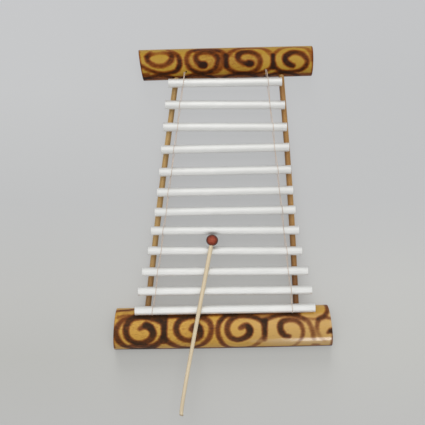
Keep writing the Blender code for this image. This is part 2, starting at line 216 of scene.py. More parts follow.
def mesh_of(name, shells, smooth_angle=50.0):
    """One mesh of several shells, each as (points, faces)."""
    points, faces = [], []
    for shell_points, shell_faces in shells:
        first = sum(len(group) for group in points)
        points.append(shell_points)
        faces += [tuple(first + corner for corner in face) for face in shell_faces]
    mesh = bpy.data.meshes.new(name)
    mesh.from_pydata(np.concatenate(points).tolist(), [], faces)
    mesh.shade_smooth()
    mesh.set_sharp_from_angle(angle=math.radians(smooth_angle))
    return mesh


def lathe(profile, steps):
    """Rings about the X axis through a profile of (radius, along)."""
    turn = np.linspace(0, 2 * math.pi, steps, endpoint=False)
    return [
        np.stack([np.full(steps, along), radius * np.cos(turn), radius * np.sin(turn)], axis=1)
        for radius, along in profile
    ]


def rounding(edge, steps, whole=False):
    """Places from an end on, each with a rounded edge's inset there. Whole adds the last one."""
    angles = [math.pi / 2 * step / steps for step in range(steps + 1 if whole else steps)]
    return [(edge * (1 - math.cos(angle)), edge * (1 - math.sin(angle))) for angle in angles]


def stations(length, edge, edge_steps, count):
    """Places along a piece with rounded ends, each with the inset there."""
    rim = rounding(edge, edge_steps)
    body = [(at, 0.0) for at in np.linspace(edge, length - edge, count)]
    return rim + body + [(length - at, inset) for at, inset in reversed(rim)]


def rings_round(line, aside, above, radius, sides):
    """Rings round the points of a line, from its two side vectors at each point."""
    rings = []
    for side in range(sides):
        angle = 2 * math.pi * side / sides
        rings.append(line + radius * (math.cos(angle) * aside + math.sin(angle) * above))
    return np.stack(rings, axis=1)


def unit(vectors):
    return vectors / np.linalg.norm(vectors, axis=1)[:, None]


def made_by(operator, name, **settings):
    bm = bmesh.new()
    operator(bm, **settings)
    mesh = bpy.data.meshes.new(name)
    bm.to_mesh(mesh)
    bm.free()
    return mesh


def add_object(name, data):
    added = bpy.data.objects.new(name, data)
    bpy.context.scene.collection.objects.link(added)
    return added


def add_piece(name, mesh, material, matrix=None):
    piece = add_object(name, mesh)
    if matrix is not None:
        piece.matrix_world = matrix
    if material is not None:
        mesh.materials.append(material)
    return piece


def add_rigid(name, mesh, material, matrix, body, node):
    """A piece that rides on a body and replaces a node."""
    piece = add_piece(name, mesh, material, matrix)
    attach(piece, body)
    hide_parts(node)
    return piece


def box_middle(node):
    low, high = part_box(node)
    return (low + high) / 2


def heading_along(line, track="X", up="Z"):
    """Turns a piece's own axis onto a line."""
    return line.to_track_quat(track, up).to_matrix().to_4x4()


def lying(bar):
    """Places a piece that is built along X from the origin on a bar."""
    return Matrix.Translation(bar.start) @ heading_along(bar.end - bar.start)


# Shader nodes

def set_inputs(tree, node, inputs):
    """Links the sockets among the inputs, and sets the other values."""
    for key, value in inputs.items():
        if isinstance(value, bpy.types.NodeSocket):
            tree.links.new(value, node.inputs[key])
        else:
            node.inputs[key].default_value = value


def add_node(tree, kind, inputs=None, **settings):
    """Adds a node and returns its outputs."""
    node = tree.nodes.new("ShaderNode" + kind)
    for key, value in settings.items():
        setattr(node, key, value)
    set_inputs(tree, node, inputs or {})
    return node.outputs


def make_material(name, looks, **values):
    """A material whose Principled shader has the inputs that the function looks returns."""
    material = bpy.data.materials.new(name)
    material.use_nodes = True
    tree = material.node_tree
    set_inputs(tree, tree.nodes["Principled BSDF"], looks(tree, **values))
    return material


def noise(tree, along, across, detail=3.0, roughness=0.55):
    """Noise in the piece's own coordinates, with its scale along X and across it."""
    place = add_node(tree, "TexCoord")["Object"]
    mapped = add_node(tree, "Mapping", {"Vector": place, "Scale": (along, across, across)})[0]
    inputs = {"Vector": mapped, "Scale": 1.0, "Detail": detail, "Roughness": roughness}
    return add_node(tree, "TexNoise", inputs)["Fac"]


def own_axes(tree, kind="Object"):
    """The piece's own X, Y and Z, of the place or of the direction that it faces there."""
    return add_node(tree, "SeparateXYZ", {0: add_node(tree, "TexCoord")[kind]})


def painted(tree, name):
    """A value that the mesh has at each point."""
    return add_node(tree, "Attribute", attribute_name=name)["Fac"]


def calc(tree, operation, first, second=0.0, third=0.0, clamp=False):
    inputs = {0: first, 1: second, 2: third}
    return add_node(tree, "Math", inputs, operation=operation, use_clamp=clamp)[0]


def times(tree, first, second):
    return calc(tree, "MULTIPLY", first, second)


def spread(tree, value, low, high):
    """Maps 0 to 1 onto low to high."""
    return calc(tree, "MULTIPLY_ADD", value, high - low, low)


def fade(tree, value, start, end, **settings):
    """Maps start to end onto 0 to 1, and holds it there beyond them."""
    inputs = {"Value": value, "From Min": start, "From Max": end}
    return add_node(tree, "MapRange", inputs, **settings)[0]


def both(tree, first, share, second):
    """The first value by its share and the second by the rest."""
    return calc(tree, "MULTIPLY_ADD", first, share, times(tree, second, 1 - share))


def ramp(tree, factor, stops):
    """A colour ramp with stops of (place, linear colour)."""
    outputs = add_node(tree, "ValToRGB", {"Fac": factor})
    elements = outputs["Color"].node.color_ramp.elements
    while len(elements) < len(stops):
        elements.new(0.5)
    for element, (place, colour) in zip(elements, stops):
        element.position = place
        element.color = (*colour, 1.0)
    return outputs["Color"]


def mix(tree, factor, first, second, blend="MIX"):
    inputs = {0: factor}
    for place, value in ((6, first), (7, second)):
        inputs[place] = value if isinstance(value, bpy.types.NodeSocket) else (*value, 1.0)
    return add_node(tree, "Mix", inputs, data_type="RGBA", blend_type=blend)[2]


def bump(tree, height, strength, distance):
    inputs = {"Height": height, "Strength": strength, "Distance": distance}
    return add_node(tree, "Bump", inputs)[0]


def seen_rays(tree):
    """The light path's outputs, and whether a ray shows what it meets."""
    rays = add_node(tree, "LightPath")
    seen = calc(tree, "MAXIMUM", rays["Is Camera Ray"], rays["Is Glossy Ray"])
    return rays, calc(tree, "MAXIMUM", seen, rays["Is Transmission Ray"])


# Materials

# Skin from pale to char, linear, and the mark strength of each tone. Painted shade takes its tones from the
# same scale.
NEAR_TONES = (
    (0.66, 0.375, 0.064), (0.48, 0.225, 0.036), (0.30, 0.110, 0.020),
    (0.19, 0.052, 0.010), (0.085, 0.032, 0.011), (0.040, 0.021, 0.012),
)
FAR_TONES = (
    (0.46, 0.270, 0.034), (0.36, 0.165, 0.020), (0.27, 0.083, 0.010),
    (0.175, 0.042, 0.003), (0.070, 0.019, 0.004), (0.028, 0.011, 0.006),
)
TONE_HEATS = (0.04, 0.20, 0.44, 0.64, 0.84, 1.0)


def bamboo_skin(tree, tones, gloss, polish):
    """Culm skin with fine fibres, from pale to char by the mesh's marks: charred ornament, and painted shade.

    Gloss is the varnish's weight on the pale skin, and polish its roughness. It is dull where the skin is
    marked.
    """
    # The mesh's share holds the charred ornament and the painted shade alike
    heat = painted(tree, "burn_and_shade")
    fibre = noise(tree, 30.0, 2200.0, detail=2.0)
    cloud = noise(tree, 60.0, 90.0)
    streak = noise(tree, 9.0, 420.0)
    mottle = noise(tree, 190.0, 330.0, detail=4.0, roughness=0.7)
    uneven = times(tree, heat, spread(tree, cloud, 0.86, 1.14))
    uneven = calc(tree, "ADD", uneven, spread(tree, mottle, -0.36, 0.36))
    uneven = calc(tree, "ADD", uneven, spread(tree, fibre, -0.04, 0.04), clamp=True)
    marked_tone = ramp(tree, uneven, tuple(zip(TONE_HEATS, tones)))
    tone = mix(tree, spread(tree, streak, 0.0, 0.5), marked_tone, (0.80, 0.74, 0.62), "MULTIPLY")
    # Painted sheen: a pale cream where the mesh says, less where the skin is marked
    painted_sheen = times(tree, painted(tree, "painted_sheen"), spread(tree, streak, 0.7, 1.3))
    unmarked = calc(tree, "SUBTRACT", 1.0, heat)
    sheen_share = times(tree, painted_sheen, times(tree, unmarked, unmarked))
    return {
        "Base Color": mix(tree, sheen_share, tone, (0.66, 0.46, 0.25)),
        "Roughness": spread(tree, cloud, 0.36, 0.50),
        "Specular IOR Level": 0.06,
        "Coat Weight": spread(tree, uneven, gloss, 0.03),
        "Coat Roughness": polish,
        "Normal": bump(tree, calc(tree, "SUBTRACT", fibre, times(tree, heat, 0.7)), 0.25, 0.0002),
    }


def bamboo_cut(tree, culm):
    """Sawn culm: fibre bundles as dots, closer together towards the skin."""
    place = add_node(tree, "TexCoord")["Object"]
    section = add_node(tree, "VectorMath", {0: place, 1: (0.0, 1.0, 1.0)}, operation="MULTIPLY")[0]
    radius = add_node(tree, "VectorMath", {0: section}, operation="LENGTH")["Value"]
    outer = radius_at(culm, 0.5)
    depth = fade(tree, radius, outer - culm.wall, outer)
    cells = add_node(tree, "TexVoronoi", {"Vector": section, "Scale": 1500.0})["Distance"]
    dots = calc(tree, "LESS_THAN", cells, spread(tree, depth, 0.20, 0.42))
    grain = noise(tree, 60.0, 900.0)
    ground = ramp(tree, grain, ((0.3, (0.42, 0.27, 0.10)), (0.7, (0.58, 0.40, 0.17))))
    rim = mix(tree, calc(tree, "POWER", depth, 6.0), ground, (0.30, 0.17, 0.05))
    return {
        "Base Color": mix(tree, times(tree, dots, 0.65), rim, (0.14, 0.075, 0.03)),
        "Roughness": 0.75,
        "Normal": bump(tree, grain, 0.35, 0.0002),
    }


def rail_wood(tree, dark, light, stain, inward):
    """Round stick with lengthwise grain, and painted shade: darker on its inner side and towards its near
    end.

    Inward is 1 or -1, the side of the piece's own Y axis that faces the other rail.
    """
    grain = noise(tree, 14.0, 900.0, detail=4.0)
    patch = noise(tree, 22.0, 60.0)
    colour = ramp(tree, both(tree, patch, 0.6, grain), ((0.30, dark), (0.70, light)))
    # Painted shade towards the near end
    near = fade(tree, own_axes(tree)["X"], *RAIL_NEAR_SHADE)
    colour = mix(tree, times(tree, near, stain), colour, (0.46, 0.31, 0.19), "MULTIPLY")
    # Painted shade on the inner side, which faces the other rail
    inner = calc(tree, "MULTIPLY_ADD", own_axes(tree, "Normal")["Y"], 0.5 * inward, 0.5)
    return {
        "Base Color": mix(tree, times(tree, inner, 0.8), colour, (0.58, 0.50, 0.40), "MULTIPLY"),
        "Roughness": spread(tree, grain, 0.30, 0.50),
        "Normal": bump(tree, grain, 0.30, 0.0002),
    }


def satin_aluminium(tree):
    """Drawn and anodised tube: fine lengthwise lines, faint clouds of handling."""
    drawn = noise(tree, 7.0, 2600.0, detail=2.0)
    cloud = noise(tree, 45.0, 120.0)
    return {
        "Base Color": ramp(tree, cloud, ((0.3, (0.83, 0.83, 0.815)), (0.7, (0.89, 0.89, 0.875)))),
        "Metallic": 0.7,
        "Roughness": calc(tree, "ADD", spread(tree, cloud, 0.46, 0.56), spread(tree, drawn, -0.04, 0.04)),
        "Normal": bump(tree, drawn, 0.12, 0.0001),
    }


def twisted_thread(tree):
    lint = noise(tree, 2500.0, 2500.0)
    patch = noise(tree, 90.0, 90.0)
    tones = ((0.3, (0.56, 0.44, 0.355)), (0.7, (0.82, 0.69, 0.585)))
    return {
        "Base Color": ramp(tree, both(tree, patch, 0.5, lint), tones),
        "Roughness": 0.9,
        "Sheen Weight": 0.2,
        "Normal": bump(tree, lint, 0.5, 0.0001),
    }


def lacquered_bead(tree):
    """Stained, lacquered bead with its turning lines, and painted shade that darkens its lower half."""
    rings = noise(tree, 1400.0, 60.0)
    figure = noise(tree, 120.0, 420.0)
    tones = ((0.28, (0.15, 0.020, 0.010)), (0.55, (0.36, 0.072, 0.038)), (0.75, (0.45, 0.125, 0.048)))
    colour = ramp(tree, both(tree, rings, 0.35, figure), tones)
    # Painted shade, darkening the lower half
    low = fade(tree, own_axes(tree)["Z"], *BEAD_SHADE, interpolation_type="SMOOTHSTEP")
    return {
        "Base Color": mix(tree, low, colour, (0.22, 0.18, 0.18), "MULTIPLY"),
        "Roughness": spread(tree, figure, 0.22, 0.34),
        "Specular IOR Level": 0.14,
        "Coat Weight": 0.18,
        "Coat Roughness": 0.12,
        "Normal": bump(tree, rings, 0.15, 0.0001),
    }


def stick_wood(tree):
    """Pale stick, darker over its last few millimetres at the end away from the bead."""
    grain = noise(tree, 10.0, 1300.0, detail=4.0)
    patch = noise(tree, 26.0, 80.0)
    tones = ((0.30, (0.65, 0.525, 0.35)), (0.70, (0.86, 0.735, 0.54)))
    pale = ramp(tree, both(tree, patch, 0.45, grain), tones)
    dark_end = fade(tree, own_axes(tree)["X"], STICK_DARK_END, 0.0)
    return {
        "Base Color": mix(tree, times(tree, dark_end, 0.75), pale, (0.17, 0.10, 0.05)),
        "Roughness": spread(tree, grain, 0.45, 0.62),
        "Normal": bump(tree, grain, 0.25, 0.0002),
    }


def pale_floor(tree):
    """A floor of which the camera and reflections see part its own tone and part the light on it.

    Its own tone paints how light falls: darker towards the near end, with painted shade in front of the near
    bridge on the left. It shows more of its own tone towards the far end, where the low light comes from, so
    the object's shadow is faintest there.
    """
    axes = own_axes(tree)
    along = fade(tree, axes["Y"], *FLOOR_SEEN_ALONG)
    across = fade(tree, axes["X"], *FLOOR_SEEN_ACROSS)
    # The tones paint how light and shade fall across the floor
    tone = mix(tree, across, ramp(tree, along, FLOOR_LEFT), ramp(tree, along, FLOOR_RIGHT))
    glow = add_node(tree, "Emission", {"Color": tone, "Strength": 1.0})[0]
    own = spread(tree, fade(tree, along, *SHADOW_FADES), OWN_TONE_NEAR, OWN_TONE_FAR)
    share = times(tree, seen_rays(tree)[1], own)
    lit = tree.nodes["Principled BSDF"].outputs[0]
    shown = add_node(tree, "MixShader", {0: share, 1: lit, 2: glow})[0]
    set_inputs(tree, tree.nodes["Material Output"], {"Surface": shown})
    return {"Base Color": tone, "Roughness": 0.9, "Specular IOR Level": 0.1}


# Burnt ornament, painted shade and painted sheen, in millimetres on the unrolled skin:
# along the culm from its middle, and across it from the ridge, positive towards the tubes

Stroke = namedtuple("Stroke", "points width heat")
STROKE_SOFT = 2.3  # half the width of a stroke's edge
SAMPLES = 10  # between two points of a stroke, or more if they are further apart than the step
STROKE_STEP = 1.0
RING_WIDTH = 3.4
RING_POINTS = 17
MILLIMETRES = 1000  # in a metre
HOT = 1.0  # burnt to char


def stroke(points, width, heat):
    """A smooth line through points. Width is half of the line's. It and heat may be lists along the line."""
    points = np.array(points, float)
    padded = np.vstack([2 * points[0] - points[1], points, 2 * points[-1] - points[-2]])
    line, along = [], []
    for index, (before, start, end, after) in enumerate(zip(padded, padded[1:], padded[2:], padded[3:])):
        count = max(SAMPLES, math.ceil(np.linalg.norm(end - start) / STROKE_STEP))
        share = np.linspace(0, 1, count, endpoint=False)[:, None]
        line.append(0.5 * (
            2 * start + (end - before) * share + (2 * before - 5 * start + 4 * end - after) * share**2
            + (3 * start - before - 3 * end + after) * share**3
        ))
        along.append((index + share[:, 0]) / (len(points) - 1))
    line = np.vstack([*line, points[-1:]])
    along = np.append(np.concatenate(along), 1.0)
    values = []
    for value in (width, heat):
        value = np.atleast_1d(value)
        values.append(np.interp(along, np.linspace(0, 1, len(value)), value))
    return Stroke(line, *values)


def ring(centre, half, heat):
    """The stroke of an ellipse, of which only the part on the skin shows."""
    angle = np.linspace(0, 2 * math.pi, RING_POINTS)
    points = np.stack([centre[0] + half[0] * np.cos(angle), centre[1] + half[1] * np.sin(angle)], axis=1)
    return points, RING_WIDTH, heat


# Five curls along the ridge, dark bars between them, and rings that close below, with painted shade along the
# first tube's edge, the sawn ends and the foot
NEAR_ORNAMENT_AND_SHADE = [stroke(*line) for line in (
    # Toasted ground
    ([(-150, 0), (-45, 0)], 30.0, 0.06),
    # First curl, from its tip round to the bar, and the ring outside it
    ([(-112, 3), (-103, 7), (-97, 2.5), (-94.5, -4), (-98, -12), (-107, -17.5), (-118, -18), (-127, -12),
        (-131, -3), (-130, 8), (-124, 16), (-114, 19), (-103, 18.5), (-92, 16), (-82, 12)],
        (3.0, 4.8, 4.2, 4.2, 4.2, 4.2), (0.58, HOT, 0.8, 0.84, 0.88, 0.82, 0.84, 0.94)),
    ([(-117, 20), (-127, 18.5), (-136, 14.5), (-142, 7.5), (-145, -1), (-143.5, -10), (-138, -20),
        (-128, -30), (-112, -35), (-97, -30), (-88, -20), (-82, -10)], (2.4, 3.2, 3.9, 4.3, 4.0, 4.5, 3.8),
        (0.5, 0.66, 0.72, 0.78, 0.74, 0.84, 0.66)),
    ([(-130, -25), (-120, -24), (-108, -25), (-97, -24), (-90, -18)], (2.0, 4.6, 5.0, 4.0, 2.0),
        (0.6, 0.72, 0.78, 0.72, 0.6)),
    ([(-134, -40), (-122, -37), (-108, -38), (-94, -36), (-84, -40)], (2.0, 5.0, 6.0, 5.0, 2.0),
        (0.5, 0.84, 0.86, 0.76, 0.5)),
    ([(-104, 7.5), (-98, 4.5)], 4.8, 0.9),
    ([(-80, 18), (-79.5, 12), (-79.5, 0), (-80, -10), (-80.5, -16)], (6.8, 4.6, 4.0, 4.0, 5.2),
        (0.92, HOT, HOT, 0.95, 0.72)),
    # Dark band along the first tube's edge: partly charred ring tops, partly painted shade cast by the tube
    ([(-120, 20.5), (-100, 19.5), (-66, 19.5), (-40, 20.5), (-22, 20)], (3.0, 3.0, 3.0, 2.4),
        (0.8, 0.9, 0.8, 0.6)),
    ([(-22, 21), (20, 21.5), (60, 21.5), (104, 20)], 2.4, (0.56, 0.6, 0.6, 0.5)),
    # Second curl
    ([(-41.5, 1.0), (-38, 5.0), (-33, 4.0), (-30.5, -3), (-32, -10), (-39, -14.5), (-48, -15.5), (-56, -12),
        (-62, -4), (-63, 4), (-59, 12), (-51, 17), (-40, 18.5), (-28, 17), (-20, 12.5), (-16, 5), (-16, -4),
        (-20, -14), (-27, -23), (-35, -30), (-46, -34), (-58, -32), (-67, -25), (-75, -17), (-80, -10)],
        (4.2, 4.8, 4.1, 3.9, 3.9, 3.9, 3.7, 3.6, 3.8, 4.8, 3.9),
        (0.72, HOT, 0.78, 0.68, 0.8, 0.88, 0.84, 0.68, 0.68, 0.68, 0.7, 0.7, 0.7)),
    # Third curl, and the ring that closes below it
    ([(24, 1.5), (31, 4.5), (36, 0), (35.5, -7), (29, -13), (20, -16), (12, -13), (7, -6), (6, 2), (9, 10),
        (16, 16), (26, 18.5), (37, 17.5), (47, 14), (55, 9)], (3.2, 5.0, 4.5, 4.0, 3.8, 3.8, 3.6, 3.2),
        (0.64, HOT, 0.88, 0.76, 0.76, 0.8, 0.86, 0.84)),
    ([(18, 20.5), (6, 19.5), (-2, 13), (-6.5, 4), (-6.5, -7), (-3, -17), (2, -27), (10, -36), (24, -40),
        (37, -36), (46, -26), (53, -15)], (3.5, 3.4, 3.3, 3.8, 3.8, 3.7),
        (0.9, 0.84, 0.7, 0.68, 0.66, 0.5, 0.36)),
    ([(56.5, 10), (56.5, 3), (56.5, -8), (56.5, -17)], (5.0, 4.0, 3.8, 3.4), (0.86, 0.94, 0.9, 0.5)),
    # Fourth curl, with the ring over it
    ([(89.5, -12), (83, -9.5), (78.5, -3), (78, 5), (83, 10), (92, 11.5), (101, 9), (106.5, 3), (108.5, -6),
        (106.5, -15), (102.5, -24), (98, -33), (92, -40)], (3.4, 4.6, 4.2, 3.4, 3.0, 2.8, 2.6, 3.2),
        (0.80, 0.88, 0.84, 0.74, 0.68, 0.6, 0.36, 0.4)),
    ([(56, 10), (63, 14), (73, 17.5), (86, 19.5), (98, 18), (108, 13.5), (116, 7), (120, -2), (121.5, -13)],
        (2.6, 3.0, 3.4, 3.4, 3.0, 3.0), (0.7, 0.78, 0.86, 0.9, 0.56, 0.32, 0.24)),
    # Fifth curl, cut by the culm's end
    ([(142.5, -7), (145.5, -5), (151, -4)], (2.4, 4.0, 4.6), (0.7, 0.9, 0.9)),
    ([(151, 11), (145, 12.5), (139, 14), (133, 12)], (2.0, 2.4, 2.8), (0.55, 0.62, 0.36)),
    ([(109, 13), (119, 12.5), (130, 11.5)], 1.5, (0.6, 0.45, 0.6)),
    ([(143, 44), (144, 34), (143.5, 25), (139, 17), (131, 12), (128, 5), (127.5, -2), (129.5, -9),
        (133.5, -15), (139, -22)], (3.2, 3.2, 3.2, 2.8, 2.8), (0.62, 0.66, 0.78, 0.6, 0.34, 0.26)),
    ([(117, 8), (122, -6), (124, -18)], (2.6, 3.4, 3.0), (0.3, 0.42, 0.4)),
    ([(124, -30), (130, -31)], 3.0, 0.5),
    # Painted shade along both sawn ends
    ([(149, -44), (148.5, -24), (149.5, -8)], 1.6, 0.75),
    ([(-149, -30), (-150, -8), (-149, 14), (-148, 30)], 1.6, 0.7),
    # Painted shade along the foot, as dark as char
    ([(-155, -44), (155, -44)], (8.0, 9.2, 8.2, 9.0, 8.0, 9.4, 8.2, 8.8, 8.0),
        (0.66, 0.82, 0.62, 0.80, 0.72, 0.64, 0.84, 0.70, 0.78, 0.66)),
    # Row under the tubes
    ([(46, 17.5), (56, 17), (66, 17.5)], 2.0, 0.4),
    ([(-150, 31), (-138, 33), (-127, 34), (-116, 40)], 2.6, (0.5, 0.75, 0.6)),
    ([(-142, 20), (-131, 22), (-118, 22)], 2.2, 0.42),
    *[ring((x, 47), (26, 23), heat=0.66) for x in (-84, -22, 40, 99)],
)]

# Painted sheen on the near bridge's skin, mostly towards the right end: a broad veil, bands along the glint,
# and a lit rim at the right end
NEAR_SHEEN = [stroke(*line) for line in (
    ([(20, 0), (60, 0), (100, -2), (152, -2)], 22.0, (0.1, 0.26, 0.3, 0.3)),
    ([(40, -19), (70, -19), (110, -18.5), (152, -18)], 3.2, (0.25, 0.45, 0.5, 0.4)),
    ([(56, -25), (80, -25.5), (152, -26)], 4.0, (0.2, 0.5, 0.6)),
    ([(145.5, 26), (146.5, 14), (147.5, 2), (148.5, -10)], 1.2, 0.9),
)]

# Four curls along the ridge of the far bridge. The first is a closed eye. Painted shade runs along the tube
# side.
FAR_ORNAMENT_AND_SHADE = [stroke(*line) for line in (
    # Toasted ground
    ([(-22, 0), (14, 0)], 30.0, 0.11),
    # First curl, and the ring below it
    ([(-95, -13.5), (-104, -11), (-108, -5), (-104, 1), (-97, 4.5), (-90, 5.5), (-82, 3.5), (-76, -1.5),
        (-74.5, -8), (-79, -13), (-87, -14.5), (-95, -13.5)], (3.0, 3.6, 3.2, 3.0, 3.0, 3.8, 4.2, 3.4, 3.0),
        (0.28, 0.7, 0.84, 0.66, 0.62, 0.62, 0.66, 0.78, 0.86, 0.7, 0.4, 0.28)),
    ([(-104, -17), (-109.5, -9)], 2.6, (0.5, 0.7)),
    ([(-121, 1), (-112, 7), (-103, 12), (-92, 15.5), (-80, 16), (-69, 12.5), (-64, 4), (-65, -5),
        (-70, -13), (-80, -22)], (2.2, 2.4, 2.8, 3.6, 3.4, 2.8), (0.76, 0.8, 0.82, HOT, 0.82, 0.45)),
    # Second curl, wound twice
    ([(-33.5, 5.5), (-31, 5)], 5.0, HOT),
    ([(-31, 6), (-37, 3.5), (-41.5, -2), (-41, -8), (-36, -12), (-27, -13.5), (-18, -10.5), (-13, -4),
        (-12.5, 3), (-17, 11), (-26, 16), (-37, 16.5), (-47, 12), (-53, 5), (-54.5, -4), (-51, -13),
        (-44, -20), (-30, -23), (-14, -20), (-6, -13), (-2, -5)],
        (4.0, 3.6, 3.4, 4.2, 3.4, 3.2, 3.4, 3.2, 3.2, 4.2, 4.2, 3.4),
        (HOT, 0.84, 0.74, 0.6, 0.74, 0.8, 0.84, 0.84, 0.7, 0.64, 0.6, 0.6, 0.62)),
    ([(-42, -17), (-28, -18.5), (-12, -15)], 4.0, 0.52),
    ([(-12, -8), (-6, -2), (-6, 6), (-12, 14), (-22, 19)], 3.0, 0.56),
    ([(-0.5, -7), (-0.5, 8)], 3.3, HOT),
    # Third curl
    ([(30, 4.5), (33, 4.5)], 4.6, HOT),
    ([(31, 5), (24, 4), (17.5, 0.5), (15.5, -5), (18.5, -10.5), (26, -13), (35, -11.5), (42, -7), (45.5, 0),
        (44.5, 8), (39, 15), (29, 19), (16, 18.5), (6, 14), (0, 8)],
        (3.8, 3.2, 4.4, 4.2, 3.6, 3.4, 3.4, 3.2, 3.2), (HOT, 0.74, 0.9, 0.78, 0.7, 0.72, 0.8, 0.84, 0.7)),
    ([(1, -7), (7, -14), (16, -21), (32, -25), (48, -21), (56, -14), (61, -7)], 3.4,
        (0.6, 0.55, 0.55, 0.55, 0.36)),
    ([(63, 8), (57, 13.5), (49, 18), (38, 22)], 2.8, 0.8),
    ([(63, -6), (63, 11)], (3.0, 3.4), HOT),
    # Fourth curl, and the ring over it
    ([(90, 9), (84.5, 6.5), (80, 1.5), (80.5, -4), (86, -8.5), (93, -10.5), (101, -8), (107, -2.5),
        (109.5, 4), (106, 11.5), (98, 17), (87, 18.5), (76, 17.5), (68, 12.5), (64, 6)],
        (3.6, 4.4, 4.2, 4.0, 3.2, 3.2, 3.0, 3.0), (HOT, HOT, 0.88, 0.84, 0.76, 0.84, 0.84, 0.86, 0.8)),
    ([(65, -8), (71, -15), (80, -22), (94, -25), (107, -20), (114, -10), (117, 2)], 2.8,
        (0.55, 0.4, 0.4, 0.36, 0.5)),
    # Row under the tubes
    *[ring((x, 40), (25, 20), heat=0.76) for x in (-92, -40, 18, 76)],
    ([(-117, 19), (-108, 18)], 3.0, 0.6),
    # Darker lines along both ends, and painted shade along the tube side
    ([(-120.8, -24), (-118.2, 0), (-115.4, 26)], 1.5, 0.75),
    ([(118.6, -24), (118, 0), (117.4, 24)], 1.5, 0.7),
    ([(-116, 26), (-106, 29), (-92, 30)], (4.0, 3.0, 2.0), (0.9, 0.8, 0.4)),
    # Painted shade along the whole tube side
    ([(-120, 27), (120, 27)], 5.0, 0.56),
)]


def marks_at(places, strokes):
    """How strongly the strokes mark the skin at places: their strengths, each fading over the stroke's edge.
    """
    left = np.ones(len(places))
    for line in strokes:
        reach = line.width.max() + STROKE_SOFT
        low, high = line.points.min(0) - reach, line.points.max(0) + reach
        close = np.flatnonzero(((places > low) & (places < high)).all(1))
        if not len(close):
            continue
        away = np.linalg.norm(places[close][:, None] - line.points[None], axis=2)
        nearest = away.argmin(1)
        away = away[np.arange(len(close)), nearest]
        share = np.clip((line.width[nearest] + STROKE_SOFT - away) / (2 * STROKE_SOFT), 0, 1)
        left[close] *= 1 - line.heat[nearest] * share * share * (3 - 2 * share)
    return 1 - left


# Bridges

def radius_at(culm, share):
    """The culm's outer radius at a share of its length."""
    return culm.radius_left + (culm.radius_right - culm.radius_left) * share


def arc(radius, start, end, steps):
    """Points of a round section between two angles from its ridge."""
    return [(radius * math.sin(angle), radius * math.cos(angle)) for angle in np.linspace(start, end, steps)]


def culm_section(culm, radius, inset):
    """The wall's outline across the culm, its edges rounded, inset from the sawn end's full outline."""
    floor = inset - culm.axis_height
    outer, inner = radius - inset, radius - culm.wall + inset
    steps = round(math.pi * culm.radius_left / CULM_GRID)
    start = math.acos((floor + CULM_EDGE) / outer)
    outline = arc(outer, -start, start, steps)
    corner = Vector((math.sqrt(outer**2 - floor**2), floor))
    for share in (*CORNER_SHARES, 1.0):
        first = Vector(outline[steps - 1]).lerp(corner, share)
        outline.append(tuple(first.lerp(corner.lerp(corner - Vector((CULM_EDGE, 0)), share), share)))
    inside = math.acos((floor + CULM_EDGE) / inner)
    foot = Vector((math.sqrt(inner**2 - floor**2), floor))
    rise = Vector((inner * math.sin(inside), floor + CULM_EDGE))
    toe = foot + Vector((CULM_EDGE, 0))
    for share in (0.0, *CORNER_SHARES):
        outline.append(tuple(toe.lerp(foot, share).lerp(foot.lerp(rise, share), share)))
    mirrored = [(-y, z) for y, z in outline[steps:]]
    return np.array(outline + arc(inner, inside, -inside, CULM_INNER_STEPS) + mirrored[::-1])


def widening(culm, share, across):
    """How much the culm's swelling widens it, at a share of its length and on the side that across is on."""
    outer = np.polyval(np.polyfit((0.0, 0.5, 1.0), culm.outer_swell, 2), share)
    return 1 + np.where(culm.inward * across < 0, outer, culm.tube_swell) / radius_at(culm, share)


def culm_rings(culm):
    """Sections from the left end to the right one, with rounded rims and ends sawn askew."""
    count = round(culm.length / CULM_GRID)
    rings = []
    for at, inset in stations(culm.length, CULM_EDGE, CULM_EDGE_STEPS, count):
        share = at / culm.length
        section = culm_section(culm, radius_at(culm, share), inset)
        section[:, 0] *= widening(culm, share, section[:, 0])
        outward = -culm.inward * section[:, 0]
        left = -culm.length / 2 - math.tan(math.radians(culm.slant_left)) * outward
        right = culm.length / 2 + math.tan(math.radians(culm.slant_right)) * outward
        rings.append(np.column_stack([left + (right - left) * share, section]))
    return rings


def string_line(side, letter):
    """The string's place along X as (slope, start) of Y, from its CAD strand."""
    points = vertices_of(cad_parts[f"{side}_string_{letter}"].data)
    return np.polyfit(points[:, 1], points[:, 0], 1)


def pair_line(side):
    """The middle line of a side's two strands."""
    return (string_line(side, "a") + string_line(side, "b")) / 2


def hole_point(culm, side, out):
    """A point on a string hole's axis, out metres from the skin."""
    x = np.polyval(pair_line(side), culm.centre.y)
    angle = math.radians(culm.hole_angle)
    reach = radius_at(culm, (x - culm.centre.x) / culm.length + 0.5) + out
    y = culm.centre.y + (x - culm.centre.x) * math.tan(math.radians(culm.yaw))
    return Vector((x, y + culm.inward * reach * math.cos(angle), culm.axis_height + reach * math.sin(angle)))


def holes_of(culm):
    """Both rails' and both strings' holes, each as (start, end, radius) in the world."""
    holes = []
    for side in SIDES:
        rail = bar_of(f"{side}_rail", Y_AXIS)
        start, end = (rail.start, rail.end) if culm.inward > 0 else (rail.end, rail.start)
        swell = RAIL_SWELL_NEAR if culm.inward > 0 else RAIL_SWELL_FAR
        reach = (end - start).normalized() * (RAIL_HOLE_DEPTH * culm.wall)
        # The drill starts half a wall behind the rail's end
        holes.append((start - reach / 6, start + reach, rail.radius * swell + RAIL_HOLE_PLAY))
        inside = hole_point(culm, side, -culm.wall - STRING_HOLE_RADIUS)
        outside = hole_point(culm, side, culm.wall)
        holes.append((inside, outside, STRING_HOLE_RADIUS))
    return holes


